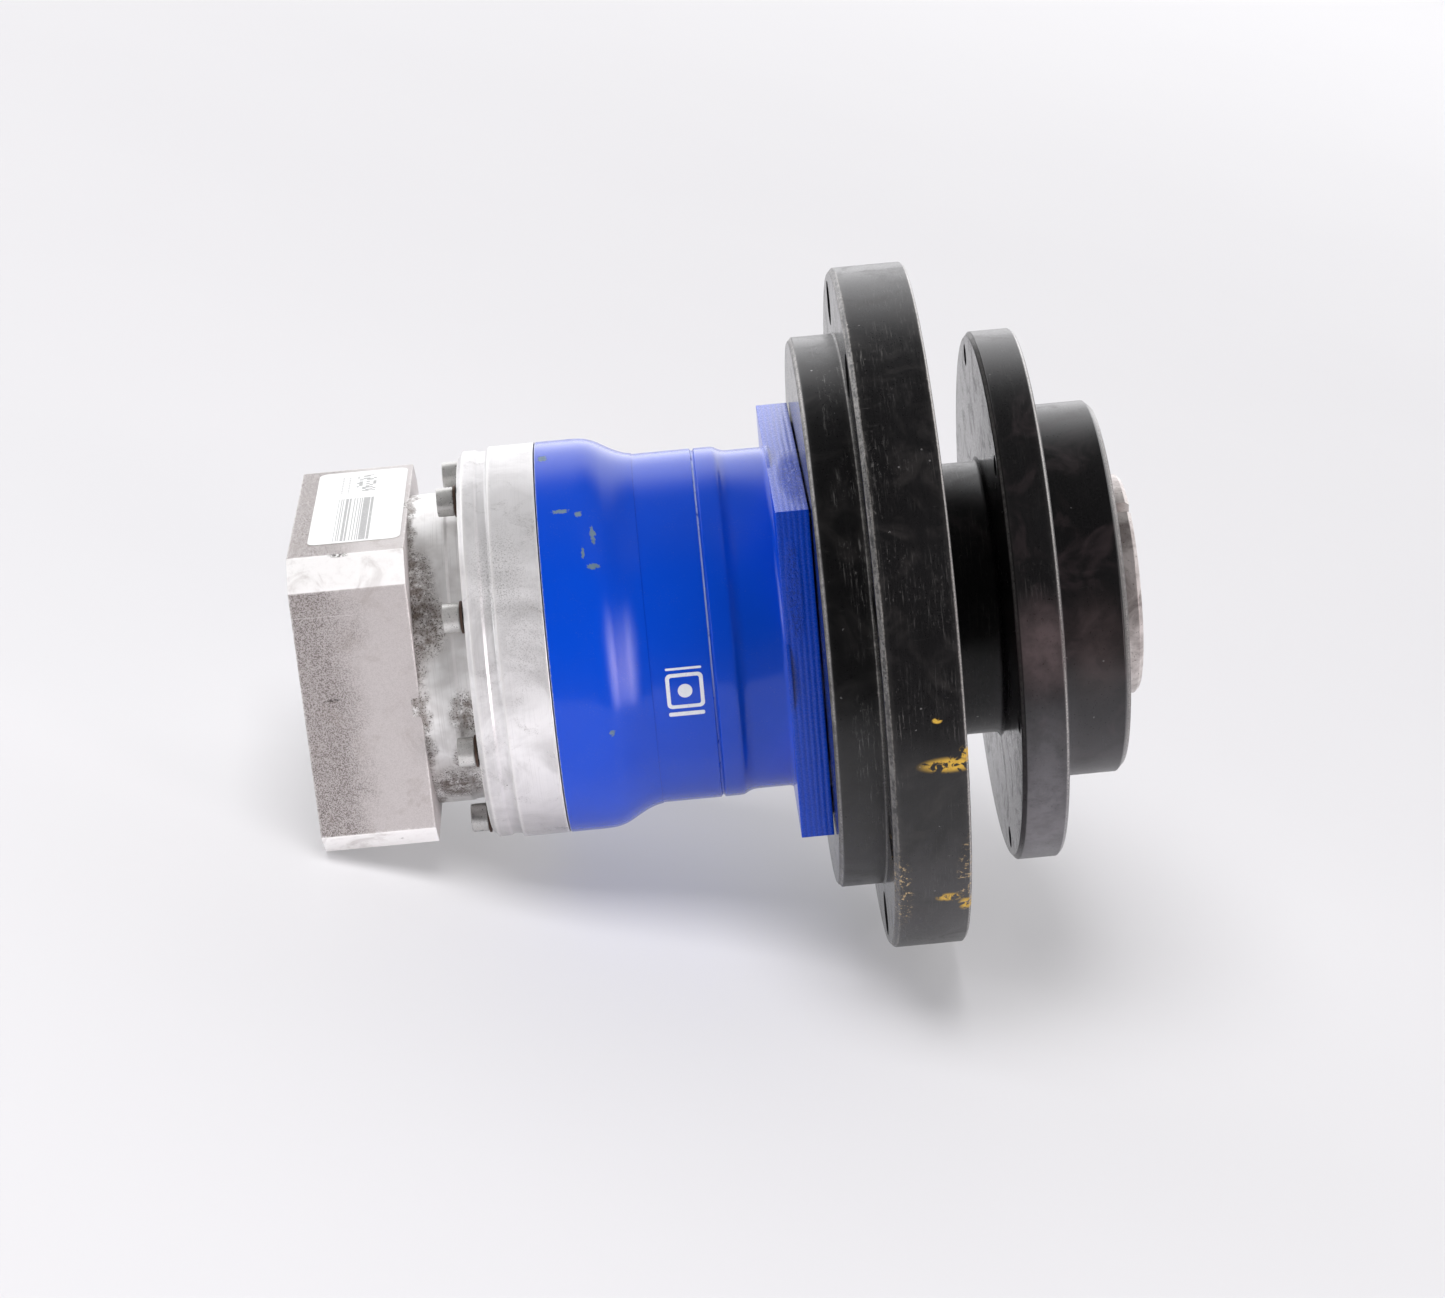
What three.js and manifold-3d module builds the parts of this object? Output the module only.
// Single-stage planetary servo gearbox, size 100, with a motor adapter on the input side,
// a stepped steel machine flange, and a flanged hub clamped to the output shaft.
// Millimetres. X runs along the shaft, from the motor face to the output; +Z is up.
// Stations along the shaft are counted from the motor face and moved to mid-length at the end.
import * as THREE from 'three';
import { mergeVertices } from 'three/addons/utils/BufferGeometryUtils.js';
import Module from 'manifold-3d';

const wasm = await Module();
wasm.setup();

// ---------------------------------------------------------------- driving dimensions
const LENGTH = 244.8;            // motor face to the end of the clamp bush
const MID = LENGTH / 2;
const GAP = 0.3;                 // air between two pieces that touch on the real object

// motor adapter: square plate with a round neck
const PLATE_HALF = 46, PLATE_T = 33.6, PLATE_CHAMFER = 7.7;
const NECK_R = 46.3, NECK_END = 48.7;
const ADAPTER_BORE_R = 33, SPIGOT_R = 36.5, SPIGOT_END = 52.6;
const PILOT_R = 40.1, PILOT_DEEP = 5;
const MOTOR_HOLE_R = 2.6, MOTOR_HOLE_AT = 35.36, MOTOR_HOLE_DEEP = 20;
const ADAPTER_SCREW_PCR = 41.0, ADAPTER_SCREW_FIRST = -22.5;
const ACCESS_X = 17, ACCESS_Z = 21.5, ACCESS_R = 7;

// input cover ring
const COVER_X0 = 49.0, COVER_X1 = 71.7, COVER_R = 58.6, COVER_R_LEFT = 57.9;
const STEP_X0 = 54.1, STEP_X1 = 58.2;
const COVER_SCREW_PCR = 52.0, COVER_SCREWS = 8, COVER_SCREW_FIRST = 150;

// painted housing and its square output flange
const BODY_X0 = 72.0, BODY_R1 = 58.6, BODY_R2 = 52.4, BODY_R3 = 50.9;
const SHOULDER_X = 86.5, TAPER_END = 100.2, GROOVE_X = 118.4, STEP_X = 125.0;
const FLANGE_X0 = 139.6, FLANGE_X1 = 149.2, FLANGE_HALF = 50.5;
const BOSS_R = 44.7, BOSS_END = 155.0;
const BODY_BORE_R = 47.3, BEARING_BORE_R = 40.3, BORE_STEP_X = 107.0;
const FLANGE_SCREW_PCR = 60.0;

// stepped machine flange
const SMALL_X0 = 149.6, SMALL_R = 82.6, LARGE_X0 = 163.5, LARGE_R = 102.0, LARGE_X1 = 185.4;
const FLANGE_BORE_R = 46.0;
const MACHINE_HOLE_PCR = 92.0, MACHINE_HOLES = 8, MACHINE_HOLE_FIRST = 69, MACHINE_HOLE_R = 4.5;
const MACHINE_CBORE_R = 6.75, MACHINE_CBORE_DEEP = 8;

// output hub: sleeve, disc and drum in one piece
const HUB_X0 = 176.0, HUB_R = 40.8, DISC_X0 = 202.8, DISC_X1 = 216.3, DISC_R = 79.4;
const DRUM_R = 55.9, DRUM_X1 = 237.6, HUB_SHAFT_BORE_R = 16.3, HUB_BUSH_BORE_R = 33.3, HUB_BUSH_X = 206.0;
const DISC_HOLE_PCR = 72.7, DISC_HOLES = 6, DISC_HOLE_FIRST = 69, DISC_HOLE_R = 3.3;

// split clamp bush on the shaft
const BUSH_X0 = 206.4, BUSH_R = 33.0, BUSH_BORE_R = 16.3, BUSH_SLIT = 3.0, BUSH_SLIT_AT = 116.5;
const BUSH_SCREW_PCR = 24.5;

// output shaft and carrier
const SHAFT_R = 16.0, SHAFT_END = 244.0, JOURNAL_R = 25.0, SEAL_JOURNAL_R = 22.5;
const CARRIER_R = 38.0;

// gears: module, teeth
const MODULE = 1.5, Z_SUN = 18, Z_PLANET = 18, Z_RING = 54, PRESSURE = 20 * Math.PI / 180;
const CENTRE = MODULE * (Z_SUN + Z_PLANET) / 2;
const BACKLASH = 0.20;           // taken off each tooth flank's thickness
const PLANET_AT = [90, 210, 330];
const GEAR_X0 = 84.0, GEAR_X1 = 100.0;

// ---------------------------------------------------------------- helpers
const rad = (deg) => deg * Math.PI / 180;
const polar = (r, deg) => [r * Math.cos(rad(deg)), r * Math.sin(rad(deg))];

function toSolid(geometry) {
  const g = (geometry.index ? geometry : geometry.clone());
  const bare = new THREE.BufferGeometry();
  bare.setAttribute('position', g.getAttribute('position').clone());
  if (g.index) bare.setIndex(g.index.clone());
  const merged = mergeVertices(bare, 1e-4);
  const index = merged.index.array, kept = [];
  for (let i = 0; i < index.length; i += 3) {
    const [a, b, c] = [index[i], index[i + 1], index[i + 2]];
    if (a !== b && b !== c && c !== a) kept.push(a, b, c);
  }
  const make = (tri) => new wasm.Manifold(new wasm.Mesh({
    numProp: 3,
    vertProperties: new Float32Array(merged.getAttribute('position').array),
    triVerts: new Uint32Array(tri),
  }));
  let solid = make(kept);
  if (solid.volume() < 0) {
    const flipped = [];
    for (let i = 0; i < kept.length; i += 3) flipped.push(kept[i], kept[i + 2], kept[i + 1]);
    solid = make(flipped);
  }
  return solid;
}

function toGeometry(solid) {
  const mesh = solid.getMesh();
  const g = new THREE.BufferGeometry();
  g.setAttribute('position', new THREE.BufferAttribute(new Float32Array(mesh.vertProperties), 3));
  g.setIndex(new THREE.BufferAttribute(new Uint32Array(mesh.triVerts), 1));
  g.computeVertexNormals();
  return g;
}

// A solid turned about X from a closed profile of [x, radius] points.
function turned(profile, segments = 48) {
  const pts = profile.map(([x, r]) => new THREE.Vector2(r, x));
  const first = pts[0], last = pts[pts.length - 1];
  if (!(first.x === 0 && last.x === 0)) pts.push(first.clone());
  const g = new THREE.LatheGeometry(pts, segments);
  g.rotateZ(-Math.PI / 2);
  return toSolid(g);
}

// A plain rod along X, centred on (y, z).
function rod(x0, x1, r, y = 0, z = 0, segments = 16) {
  const g = new THREE.CylinderGeometry(r, r, x1 - x0, segments);
  g.rotateZ(-Math.PI / 2);
  g.translate((x0 + x1) / 2, y, z);
  return toSolid(g);
}

function block(x0, x1, y0, y1, z0, z1) {
  const g = new THREE.BoxGeometry(x1 - x0, y1 - y0, z1 - z0);
  g.translate((x0 + x1) / 2, (y0 + y1) / 2, (z0 + z1) / 2);
  return toSolid(g);
}

// An outline given as [y, z] points, with optional holes, extruded from x0 to x1.
function extruded(outline, x0, x1, holes = []) {
  const flat = (pts) => pts.map(([y, z]) => new THREE.Vector2(-z, y));
  const shape = new THREE.Shape(flat(outline));
  for (const h of holes) shape.holes.push(new THREE.Path(flat(h)));
  const g = new THREE.ExtrudeGeometry(shape, { depth: x1 - x0, bevelEnabled: false, curveSegments: 4 });
  g.rotateY(Math.PI / 2);
  g.translate(x0, 0, 0);
  return toSolid(g);
}

const circle = (r, n, cy = 0, cz = 0) =>
  Array.from({ length: n }, (_, i) => [cy + r * Math.cos(2 * Math.PI * i / n), cz + r * Math.sin(2 * Math.PI * i / n)]);

// Involute tooth outline of an external gear. grow widens (or thins) each tooth at the pitch circle.
function gearOutline(teeth, tipR, rootR, grow, phaseDeg, steps = 1) {
  const pitchR = MODULE * teeth / 2, baseR = pitchR * Math.cos(PRESSURE);
  const inv = (a) => Math.tan(a) - a;
  const half = (r) => {
    const q = Math.max(r, baseR);
    return (Math.PI * MODULE / 4 + grow / 2) / pitchR + inv(PRESSURE) - inv(Math.acos(Math.min(1, baseR / q)));
  };
  const startR = Math.max(baseR, rootR), radii = [];
  if (rootR < startR - 0.05) radii.push(rootR);
  for (let i = 0; i <= steps; i++) radii.push(startR + (tipR - startR) * i / steps);
  const pts = [];
  for (let t = 0; t < teeth; t++) {
    const c = rad(phaseDeg) + 2 * Math.PI * t / teeth;
    for (const r of radii) pts.push([r * Math.cos(c - half(r)), r * Math.sin(c - half(r))]);
    for (const r of [...radii].reverse()) pts.push([r * Math.cos(c + half(r)), r * Math.sin(c + half(r))]);
  }
  return pts;
}

const group = new THREE.Group();
group.position.x = -MID;

function add(name, solid, look, place) {
  const material = new THREE.MeshStandardMaterial(look);
  const mesh = new THREE.Mesh(toGeometry(solid), material);
  mesh.name = name;
  if (place) {
    mesh.position.set(...place.at);
    if (place.turn) mesh.rotation.x = rad(place.turn);
  }
  group.add(mesh);
  return mesh;
}

const LOOK = {
  cast: { color: 0xb5abac, roughness: 0.55, metalness: 0.9 },
  machined: { color: 0xb8b6b8, roughness: 0.35, metalness: 0.95 },
  blue: { color: 0x0a3dbb, roughness: 0.22, metalness: 0.0 },
  black: { color: 0x2a292b, roughness: 0.42, metalness: 0.6 },
  bright: { color: 0xb9b2ab, roughness: 0.3, metalness: 0.95 },
  screw: { color: 0x9d9a96, roughness: 0.35, metalness: 0.95 },
  blackScrew: { color: 0x222222, roughness: 0.45, metalness: 0.6 },
  gear: { color: 0x8c8d90, roughness: 0.3, metalness: 0.95 },
  race: { color: 0xc4c6c9, roughness: 0.15, metalness: 1.0 },
  bronze: { color: 0xa5793c, roughness: 0.35, metalness: 0.9 },
  rubber: { color: 0x1a1a1a, roughness: 0.8, metalness: 0.0 },
};

// ---------------------------------------------------------------- motor adapter
const h = PLATE_HALF, c = PLATE_CHAMFER;
const plateOutline = [[h, -(h - c)], [h, h - c], [h - c, h], [-(h - c), h], [-h, h - c], [-h, -(h - c)], [-(h - c), -h], [h - c, -h]];
let adapter = extruded(plateOutline, 0, PLATE_T)
  .add(turned([[PLATE_T - 4, 0], [NECK_END - 0.6, 0], [SPIGOT_END, 0], [SPIGOT_END, SPIGOT_R], [NECK_END, SPIGOT_R], [NECK_END, NECK_R - 0.4], [NECK_END - 0.6, NECK_R], [PLATE_T - 4, NECK_R]], 40))
  .subtract(rod(-1, PILOT_DEEP, PILOT_R, 0, 0, 40))
  .subtract(rod(PILOT_DEEP - 1, SPIGOT_END + 1, ADAPTER_BORE_R, 0, 0, 40));
for (let k = 0; k < 4; k++) {
  const [y, z] = polar(ADAPTER_SCREW_PCR, ADAPTER_SCREW_FIRST + 90 * k);
  adapter = adapter
    .subtract(rod(PILOT_DEEP - 6, 16, 5.5, y, z, 10))
    .subtract(rod(15, NECK_END + 1, 3.4, y, z, 8));
  const my = MOTOR_HOLE_AT * (k & 1 ? 1 : -1), mz = MOTOR_HOLE_AT * (k & 2 ? 1 : -1);
  adapter = adapter.subtract(rod(-1, MOTOR_HOLE_DEEP, MOTOR_HOLE_R, my, mz, 8));
}
// access hole to the clamp screw, from the +Y side
{
  const g = new THREE.CylinderGeometry(ACCESS_R, ACCESS_R, 26, 20);
  g.translate(ACCESS_X, 36, ACCESS_Z);
  adapter = adapter.subtract(toSolid(g));
}
add('motor_adapter', adapter, LOOK.cast);

{
  const g = new THREE.CylinderGeometry(ACCESS_R - GAP, ACCESS_R - GAP, 5, 20);
  g.translate(ACCESS_X, PLATE_HALF - 3.0, ACCESS_Z);
  const slot = block(ACCESS_X - 4, ACCESS_X + 4, PLATE_HALF - 1.6, PLATE_HALF + 2, ACCESS_Z - 0.8, ACCESS_Z + 0.8);
  add('access_plug', toSolid(g).subtract(slot), LOOK.rubber);
}

// hexagon-socket cap screw with its head towards -X and its shank running along +X from the seat at x = 0
function capScrew(headR, headH, shankR, length, washerR = 0, washerT = 0, socket = 2, segments = 16) {
  const e = headR * 0.1;
  const profile = [[-headH - washerT, 0], [-headH - washerT, headR - e], [-headH - washerT + e, headR], [-washerT, headR]];
  if (washerT) profile.push([-washerT, washerR], [0, washerR]);
  profile.push([0, shankR], [length - 1, shankR], [length, shankR * 0.7], [length, 0]);
  const hexagon = new THREE.CylinderGeometry(socket, socket, headH * 0.6 + 1, 6);
  hexagon.rotateZ(-Math.PI / 2);
  hexagon.translate(-headH - washerT + (headH * 0.6 - 1) / 2, 0, 0);
  return turned(profile, segments).subtract(toSolid(hexagon));
}

for (let k = 0; k < 4; k++) {
  const [y, z] = polar(ADAPTER_SCREW_PCR, ADAPTER_SCREW_FIRST + 90 * k);
  add('adapter_screw_' + (k + 1), capScrew(5, 6, 3, 42, 0, 0, 2.8, 10), LOOK.blackScrew, { at: [16 - GAP, y, z] });
}

// ---------------------------------------------------------------- input cover ring
let cover = turned([
  [COVER_X0, 36.9], [COVER_X0, COVER_R_LEFT - 1.6], [COVER_X0 + 1.6, COVER_R_LEFT], [STEP_X0, COVER_R_LEFT],
  [STEP_X1 - 0.6, COVER_R - 0.5], [STEP_X1, COVER_R], [COVER_X1, COVER_R],
  [COVER_X1, 47.0], [COVER_X1 + 3.3, 47.0], [COVER_X1 + 3.3, 24.0], [70.0, 24.0], [70.0, 27.8],
  [53.0, 27.8], [53.0, 36.9]], 40);
for (let k = 0; k < 4; k++) {
  const [y, z] = polar(ADAPTER_SCREW_PCR, ADAPTER_SCREW_FIRST + 90 * k);
  cover = cover.subtract(rod(COVER_X0 - 1, 60, 3.4, y, z, 8));
}
for (let k = 0; k < COVER_SCREWS; k++) {
  const [y, z] = polar(COVER_SCREW_PCR, COVER_SCREW_FIRST - 45 * k);
  cover = cover.subtract(rod(COVER_X0 - 1, COVER_X1 + 1, 2.8, y, z, 8));
}
add('input_cover', cover, LOOK.machined);

for (let k = 0; k < COVER_SCREWS; k++) {
  const [y, z] = polar(COVER_SCREW_PCR, COVER_SCREW_FIRST - 45 * k);
  add('cover_screw_' + (k + 1), capScrew(4.25, 5.0, 2.4, 34, 4.75, 0.7, 2.3, 10), LOOK.screw, { at: [COVER_X0 - GAP, y, z], turn: 11 * k });
}

// ---------------------------------------------------------------- painted housing
const body = [];
body.push([BODY_X0, BODY_BORE_R], [BODY_X0, BODY_R1]);
for (const [t, dr] of [[0, 0], [0.35, -0.15], [0.7, -0.75], [1, -1.7]]) body.push([SHOULDER_X - 3 + 5 * t, BODY_R1 + dr]);
// concave run down to a sharp line
body.push([SHOULDER_X + 5.5, 54.4], [SHOULDER_X + 9.5, 53.0], [TAPER_END, BODY_R2]);
body.push([GROOVE_X - 0.5, BODY_R2], [GROOVE_X, BODY_R2 - 0.5], [GROOVE_X + 0.5, BODY_R2]);
body.push([STEP_X - 0.8, BODY_R2], [STEP_X + 0.7, BODY_R3], [FLANGE_X0 + 1, BODY_R3], [FLANGE_X0 + 1, BEARING_BORE_R], [BORE_STEP_X, BEARING_BORE_R], [BORE_STEP_X, BODY_BORE_R]);
const F = FLANGE_HALF;
let housing = turned(body, 40)
  .add(extruded([[F, -F], [F, F], [-F, F], [-F, -F]], FLANGE_X0, FLANGE_X1)
    .add(rod(FLANGE_X1 - 1, BOSS_END, BOSS_R, 0, 0, 40))
    .subtract(rod(FLANGE_X0 - 1, BOSS_END + 1, BEARING_BORE_R, 0, 0, 40)));
for (let k = 0; k < COVER_SCREWS; k++) {
  const [y, z] = polar(COVER_SCREW_PCR, COVER_SCREW_FIRST - 45 * k);
  housing = housing.subtract(rod(BODY_X0 - 1, 84.5, 2.8, y, z, 8));
}
for (let k = 0; k < 4; k++) {
  const [y, z] = polar(FLANGE_SCREW_PCR, 45 + 90 * k);
  housing = housing.subtract(rod(FLANGE_X0 + 1.6, FLANGE_X1 + 1, 4.3, y, z, 12));
}
add('ring_gear_housing', housing, LOOK.blue);

// internal ring gear, pressed into the housing
const ringHole = gearOutline(Z_RING, 42.4, 39.0, BACKLASH, PLANET_AT[0] + 180 / Z_RING);
add('ring_gear', extruded(circle(47.0, 54), 78, 106, [ringHole]), LOOK.gear);

// ---------------------------------------------------------------- machine flange
let flange = turned([
  [SMALL_X0, FLANGE_BORE_R], [SMALL_X0, SMALL_R - 1.2], [SMALL_X0 + 1.2, SMALL_R], [LARGE_X0, SMALL_R],
  [LARGE_X0, LARGE_R - 1.5], [LARGE_X0 + 1.5, LARGE_R], [LARGE_X1 - 0.9, LARGE_R], [LARGE_X1, LARGE_R - 0.9],
  [LARGE_X1, FLANGE_BORE_R]], 48);
for (let k = 0; k < MACHINE_HOLES; k++) {
  const [y, z] = polar(MACHINE_HOLE_PCR, MACHINE_HOLE_FIRST - 45 * k);
  flange = flange
    .subtract(rod(LARGE_X0 - 1, LARGE_X0 + MACHINE_CBORE_DEEP, MACHINE_CBORE_R, y, z, 10))
    .subtract(rod(LARGE_X0, LARGE_X1 + 1, MACHINE_HOLE_R, y, z, 8));
}
for (let k = 0; k < 4; k++) {
  const [y, z] = polar(FLANGE_SCREW_PCR, 45 + 90 * k);
  flange = flange
    .subtract(rod(SMALL_X0 - 1, LARGE_X1 + 1, 4.5, y, z, 10))
    .subtract(rod(176, LARGE_X1 + 1, 7.1, y, z, 12));
}
add('machine_flange', flange, LOOK.black);
for (let k = 0; k < 4; k++) {
  const [y, z] = polar(FLANGE_SCREW_PCR, 45 + 90 * k);
  const screw = capScrew(6.5, 8, 4.0, 33.5, 0, 0, 3.4, 12).rotate([0, 180, 0]);
  add('flange_screw_' + (k + 1), screw, LOOK.blackScrew, { at: [176 + GAP, y, z] });
}

// ---------------------------------------------------------------- output body
// carrier: rear disc, three webs, front disc, bearing journals and the output shaft
let carrier = turned([
  [101, 0], [101, CARRIER_R], [106.6, CARRIER_R], [106.6, 29], [108.6, 29], [108.6, JOURNAL_R],
  [141.4, JOURNAL_R], [141.4, SEAL_JOURNAL_R], [158, SEAL_JOURNAL_R], [158, SHAFT_R],
  [SHAFT_END - 1, SHAFT_R], [SHAFT_END, SHAFT_R - 1], [SHAFT_END, 0]], 24)
  .add(turned([[77, 16.6], [77, CARRIER_R], [82.8, CARRIER_R], [82.8, 16.6]], 24));
for (const a of PLANET_AT) {
  const [y, z] = polar(31, a + 60);
  carrier = carrier.add(rod(82, 102, 5.5, y, z, 8));
}
for (const a of PLANET_AT) {
  const [y, z] = polar(CENTRE, a);
  carrier = carrier.subtract(rod(76, 107.5, 6.4, y, z, 12));
}
carrier = carrier.subtract(rod(100, 104, 12, 0, 0, 24)).subtract(rod(SHAFT_END - 14, SHAFT_END + 1, 4.2, 0, 0, 16));
add('planet_carrier_shaft', carrier, LOOK.gear);

PLANET_AT.forEach((a, i) => {
  const [y, z] = polar(CENTRE, a);
  add('planet_pin_' + (i + 1), turned([[77.6, 0], [77.6, 5.4], [78.2, 6], [105.8, 6], [106.4, 5.4], [106.4, 0]], 12), LOOK.race, { at: [0, y, z] });
  add('planet_bush_' + (i + 1), turned([[GEAR_X0 + 0.5, 6.4], [GEAR_X0 + 0.5, 8.0], [GEAR_X1 - 0.5, 8.0], [GEAR_X1 - 0.5, 6.4]], 12), LOOK.bronze, { at: [0, y, z] });
  add('planet_gear_' + (i + 1), extruded(gearOutline(Z_PLANET, 15.0, 11.6, -BACKLASH, a + 180 / Z_PLANET), GEAR_X0, GEAR_X1, [circle(8.3, 14)]), LOOK.gear, { at: [0, y, z] });
});

// hub with disc and drum
let hub = turned([
  [HUB_X0, HUB_SHAFT_BORE_R], [HUB_X0, HUB_R - 1], [HUB_X0 + 1, HUB_R], [DISC_X0, HUB_R],
  [DISC_X0, DISC_R - 1.0], [DISC_X0 + 1.0, DISC_R], [DISC_X1 - 1.1, DISC_R], [DISC_X1, DISC_R - 1.1],
  [DISC_X1, DRUM_R], [DRUM_X1 - 1.9, DRUM_R], [DRUM_X1, DRUM_R - 1.9],
  [DRUM_X1, HUB_BUSH_BORE_R], [HUB_BUSH_X, HUB_BUSH_BORE_R], [HUB_BUSH_X, HUB_SHAFT_BORE_R]], 40);
for (let k = 0; k < DISC_HOLES; k++) {
  const [y, z] = polar(DISC_HOLE_PCR, DISC_HOLE_FIRST - 60 * k);
  hub = hub.subtract(rod(DISC_X0 - 1, DISC_X1 + 1, DISC_HOLE_R, y, z, 8));
}
add('output_hub', hub, LOOK.black);

let bush = turned([
  [BUSH_X0, BUSH_BORE_R], [BUSH_X0, BUSH_R], [LENGTH - 0.8, BUSH_R], [LENGTH, BUSH_R - 0.8], [LENGTH, BUSH_BORE_R]], 36);
{
  const slit = new THREE.BoxGeometry(50, 40, BUSH_SLIT);
  slit.translate(0, 20 + 5, 0);
  slit.rotateX(rad(BUSH_SLIT_AT));
  slit.translate(BUSH_X0 + 20, 0, 0);
  bush = bush.subtract(toSolid(slit));
}
for (let k = 0; k < 3; k++) {
  const [y, z] = polar(BUSH_SCREW_PCR, BUSH_SLIT_AT + 60 + 120 * k);
  bush = bush.subtract(rod(LENGTH - 18, LENGTH + 1, 4.3, y, z, 12));
}
add('clamp_bush', bush, LOOK.bright);
for (let k = 0; k < 3; k++) {
  const [y, z] = polar(BUSH_SCREW_PCR, BUSH_SLIT_AT + 60 + 120 * k);
  const grub = turned([[0, 0], [0, 3.2], [0.7, 4], [13, 4], [13, 0]], 12);
  const hexagon = new THREE.CylinderGeometry(2.3, 2.3, 6, 6);
  hexagon.rotateZ(-Math.PI / 2);
  hexagon.translate(12, 0, 0);
  add('bush_screw_' + (k + 1), grub.subtract(toSolid(hexagon)), LOOK.blackScrew, { at: [LENGTH - 16, y, z] });
}

// ---------------------------------------------------------------- bearings, spacers, seals
function race(x0, x1, r0, r1, segments = 24) {
  return turned([[x0, r0], [x0, r1], [x1, r1], [x1, r0]], segments);
}
function cage(x, ballR, pitchR, balls, halfWidth, r0, r1) {
  let s = race(x - halfWidth, x + halfWidth, r0, r1, 24);
  for (let k = 0; k < balls; k++) {
    const g = new THREE.OctahedronGeometry(ballR, 0);
    const [y, z] = polar(pitchR, 360 * k / balls);
    g.translate(x, y, z);
    s = s.add(toSolid(g));
  }
  return s;
}
add('rear_bearing_outer', race(109, 123, 36.2, 40.0), LOOK.race);
add('rear_bearing_inner', race(109, 123, 25.3, 28.9), LOOK.race);
add('rear_bearing_balls', cage(116, 3.3, 32.55, 8, 3.4, 31.6, 33.5), LOOK.bronze);
add('front_bearing_outer', race(127, 141, 36.2, 40.0), LOOK.race);
add('front_bearing_inner', race(127, 141, 25.3, 28.9), LOOK.race);
add('front_bearing_balls', cage(134, 3.3, 32.55, 8, 3.4, 31.6, 33.5), LOOK.bronze);
add('bearing_spacer', race(123.3, 126.7, 37, 40.0), LOOK.gear);
add('output_seal', race(142.2, 150.2, 22.8, 40.0), LOOK.rubber);

// ---------------------------------------------------------------- input body
let sun = turned([
  [9, 12], [9, 16.2], [9.8, 17], [58.6, 17], [58.6, 17.2], [69.2, 17.2], [69.2, 11], [78, 11], [86, 11], [86, 0], [46, 0], [46, 12]], 20)
  .add(extruded(gearOutline(Z_SUN, 15.0, 11.6, -BACKLASH, PLANET_AT[0]), 83.4, 100.6));
sun = sun.subtract(block(8, 30, -1, 1, -20, 20));
add('sun_gear_shaft', sun, LOOK.gear);

let collar = turned([[10.5, 17.3], [10.5, 26.4], [11.1, 27], [22.9, 27], [23.5, 26.4], [23.5, 17.3]], 28)
  .subtract(block(9, 25, -1, 1, 12, 30));
{
  const hole = new THREE.CylinderGeometry(3.3, 3.3, 24, 12);
  hole.translate(ACCESS_X, 0, ACCESS_Z + 0.2);
  const seat = new THREE.CylinderGeometry(5.3, 5.3, 12, 16);
  seat.translate(ACCESS_X, 8.5 + 6, ACCESS_Z + 0.2);
  collar = collar.subtract(toSolid(hole)).subtract(toSolid(seat));
}
add('clamp_collar', collar, LOOK.machined);
{
  // clamp screw across the collar's slit, head towards the access hole
  const screw = capScrew(4.9, 6, 3.0, 19, 0, 0, 2.8, 12).rotate([0, 0, -90]);
  add('clamp_screw', screw, LOOK.blackScrew, { at: [ACCESS_X, 8.5 + GAP, ACCESS_Z + 0.2] });
}
add('input_bearing_outer', race(59.3, 69.4, 25.0, 27.5), LOOK.race);
add('input_bearing_inner', race(59.3, 69.2, 17.5, 20.2), LOOK.race);
add('input_bearing_balls', cage(64.3, 2.1, 22.6, 8, 2.4, 21.8, 23.3), LOOK.bronze);
add('input_seal', race(53.4, 58.9, 17.5, 27.5), LOOK.rubber);

export default group;
